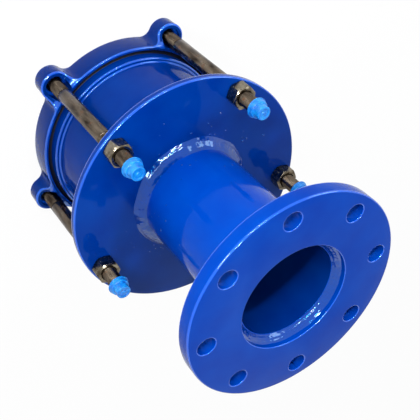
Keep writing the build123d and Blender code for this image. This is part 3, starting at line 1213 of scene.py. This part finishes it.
floor_z = cad_box[0][2]
floor_corners = [(-1, -1), (1, -1), (1, 1), (-1, 1)]
floor_mesh = bpy.data.meshes.new("floor")
floor_verts = [(x * FLOOR_REACH, y * FLOOR_REACH, floor_z) for x, y in floor_corners]
floor_mesh.from_pydata(floor_verts, [], [(0, 1, 2, 3)])
floor_piece = bpy.data.objects.new("floor", floor_mesh)
bpy.context.scene.collection.objects.link(floor_piece)
floor_paper = bpy.data.materials.new("white_paper")
floor_paper.use_nodes = True
tree = floor_paper.node_tree
paper = tree.nodes["Principled BSDF"]
paper.inputs["Base Color"].default_value = (0.8, 0.8, 0.8, 1)
paper.inputs["Roughness"].default_value = 0.9
paper.inputs["Specular IOR Level"].default_value = 0.1
glow = tree.nodes.new("ShaderNodeEmission")
glow.inputs["Color"].default_value = (1, 1, 1, 1)
path = tree.nodes.new("ShaderNodeLightPath").outputs
for_camera = calculate(tree, "MULTIPLY", path["Is Camera Ray"], SEEN_LIFT)
mirrored = calculate(tree, "MAXIMUM", path["Is Glossy Ray"], path["Is Transmission Ray"])
for_mirrors = calculate(tree, "MULTIPLY", mirrored, MIRROR_LIFT)
blend = tree.nodes.new("ShaderNodeMixShader")
tree.links.new(calculate(tree, "MAXIMUM", for_camera, for_mirrors), blend.inputs[0])
tree.links.new(paper.outputs[0], blend.inputs[1])
tree.links.new(glow.outputs[0], blend.inputs[2])
tree.links.new(blend.outputs[0], tree.nodes["Material Output"].inputs["Surface"])
floor_mesh.materials.append(floor_paper)
print("floor at", round(floor_z / MM, 1), "mm")

# %% [markdown]
# ## The room
# A faint cool light from all round keeps the shadows open. To the camera, to mirror images and
# through glass the room is plain white, as round the cut-out photograph. The light path tells the
# two apart, so the white room is seen but gives no light of its own.

# %% World
world = bpy.data.worlds.new("studio")
bpy.context.scene.world = world
world.use_nodes = True
air = world.node_tree
lit = air.nodes["Background"]
lit.inputs["Color"].default_value = (0.92, 0.96, 1.0, 1)
lit.inputs["Strength"].default_value = 0.3
white = air.nodes.new("ShaderNodeBackground")
white.inputs["Color"].default_value = (1, 1, 1, 1)
white.inputs["Strength"].default_value = 1.0
path = air.nodes.new("ShaderNodeLightPath").outputs
seen = calculate(air, "MAXIMUM", path["Is Camera Ray"], path["Is Glossy Ray"])
seen = calculate(air, "MAXIMUM", seen, path["Is Transmission Ray"])
room = air.nodes.new("ShaderNodeMixShader")
air.links.new(seen, room.inputs[0])
air.links.new(lit.outputs[0], room.inputs[1])
air.links.new(white.outputs[0], room.inputs[2])
air.links.new(room.outputs[0], air.nodes["World Output"].inputs["Surface"])
print("light from all round:", round(lit.inputs["Strength"].default_value, 2))

# %% [markdown]
# ## The camera
# The camera stands where the photograph was taken from, worked out from the circles of the
# flange: high above the flange and rolled, so that the fitting's own axis runs across the frame.
# Its three directions are written down once, and the lamps are placed by them too.

# %% Camera
FRAME_PX = 420       # width of the photograph
FOCAL_PX = 829.489   # its focal length, in the same pixels
to_camera = Vector((0.34702, -0.66650, 0.65981))
image_right = Vector((-0.84413, 0.08459, 0.52942))
image_up = Vector((-0.40867, -0.74069, -0.53326))
camera_data = bpy.data.cameras.new("camera")
camera_data.sensor_width = 36
camera_data.lens = FOCAL_PX / FRAME_PX * 36
camera = bpy.data.objects.new("camera", camera_data)
bpy.context.scene.collection.objects.link(camera)
look = Matrix((image_right, image_up, to_camera)).transposed()
camera.matrix_world = Matrix.Translation((0.29504, -0.57028, 0.41498)) @ look.to_4x4()
bpy.context.scene.camera = camera
print("lens:", round(camera_data.lens, 1), "mm")

# %% [markdown]
# ## The lamps
# One big soft lamp would light the shapes but leave gloss paint dead, because gloss shows only
# what it mirrors. So a soft key gives the light and small strong lamps give the sparkle. A long
# strip beside the camera draws the bright lines along the rounded rims. A small one high up
# catches the wet ripples of the welds. One close to the flange's left side lets its face fade
# towards the right, and a wide dim one behind it lays a sheen on the face.

# %% Lamps
def softbox(name, spot, target, width, height, power):
    """A rectangular lamp aimed at a point, all in metres and watts."""
    lamp = bpy.data.lights.new(name, "AREA")
    lamp.shape = "RECTANGLE"
    lamp.size = width
    lamp.size_y = height
    lamp.energy = power
    holder = bpy.data.objects.new(name, lamp)
    bpy.context.scene.collection.objects.link(holder)
    holder.location = spot
    holder.rotation_euler = (Vector(target) - Vector(spot)).to_track_quat("-Z", "Y").to_euler()
    print(name, power, "W")


centre = Vector((0, 0, -0.18))
flange_face = Vector((0, 0, 0))
beside_face = to_camera * 0.35 - image_right * 0.22 + image_up * 0.05
by_camera = centre + to_camera * 1.5 + image_up * 0.35
softbox("key_from_right", centre + Vector((-0.70, -0.50, 0.50)), centre, 0.4, 0.4, 2.8)
softbox("near_left", beside_face, flange_face, 0.1, 0.1, 0.75)
softbox("strip_by_camera", by_camera, centre, 1.8, 0.03, 26)
softbox("high_spot", centre + Vector((0.15, -0.25, 0.95)) * 1.5, centre, 0.12, 0.12, 8)
softbox("sheen_behind", Vector((0.0, 0.95, 0.72)), flange_face, 0.9, 0.9, 0.8)

# %% [markdown]
# ## Colours and the solids' box
# The plain view transform shows colours as they are written. The box of the solids is printed.

bpy.context.scene.view_settings.view_transform = "Standard"
print("box of the solids:", [[round(v, 4) for v in corner] for corner in cad_box])
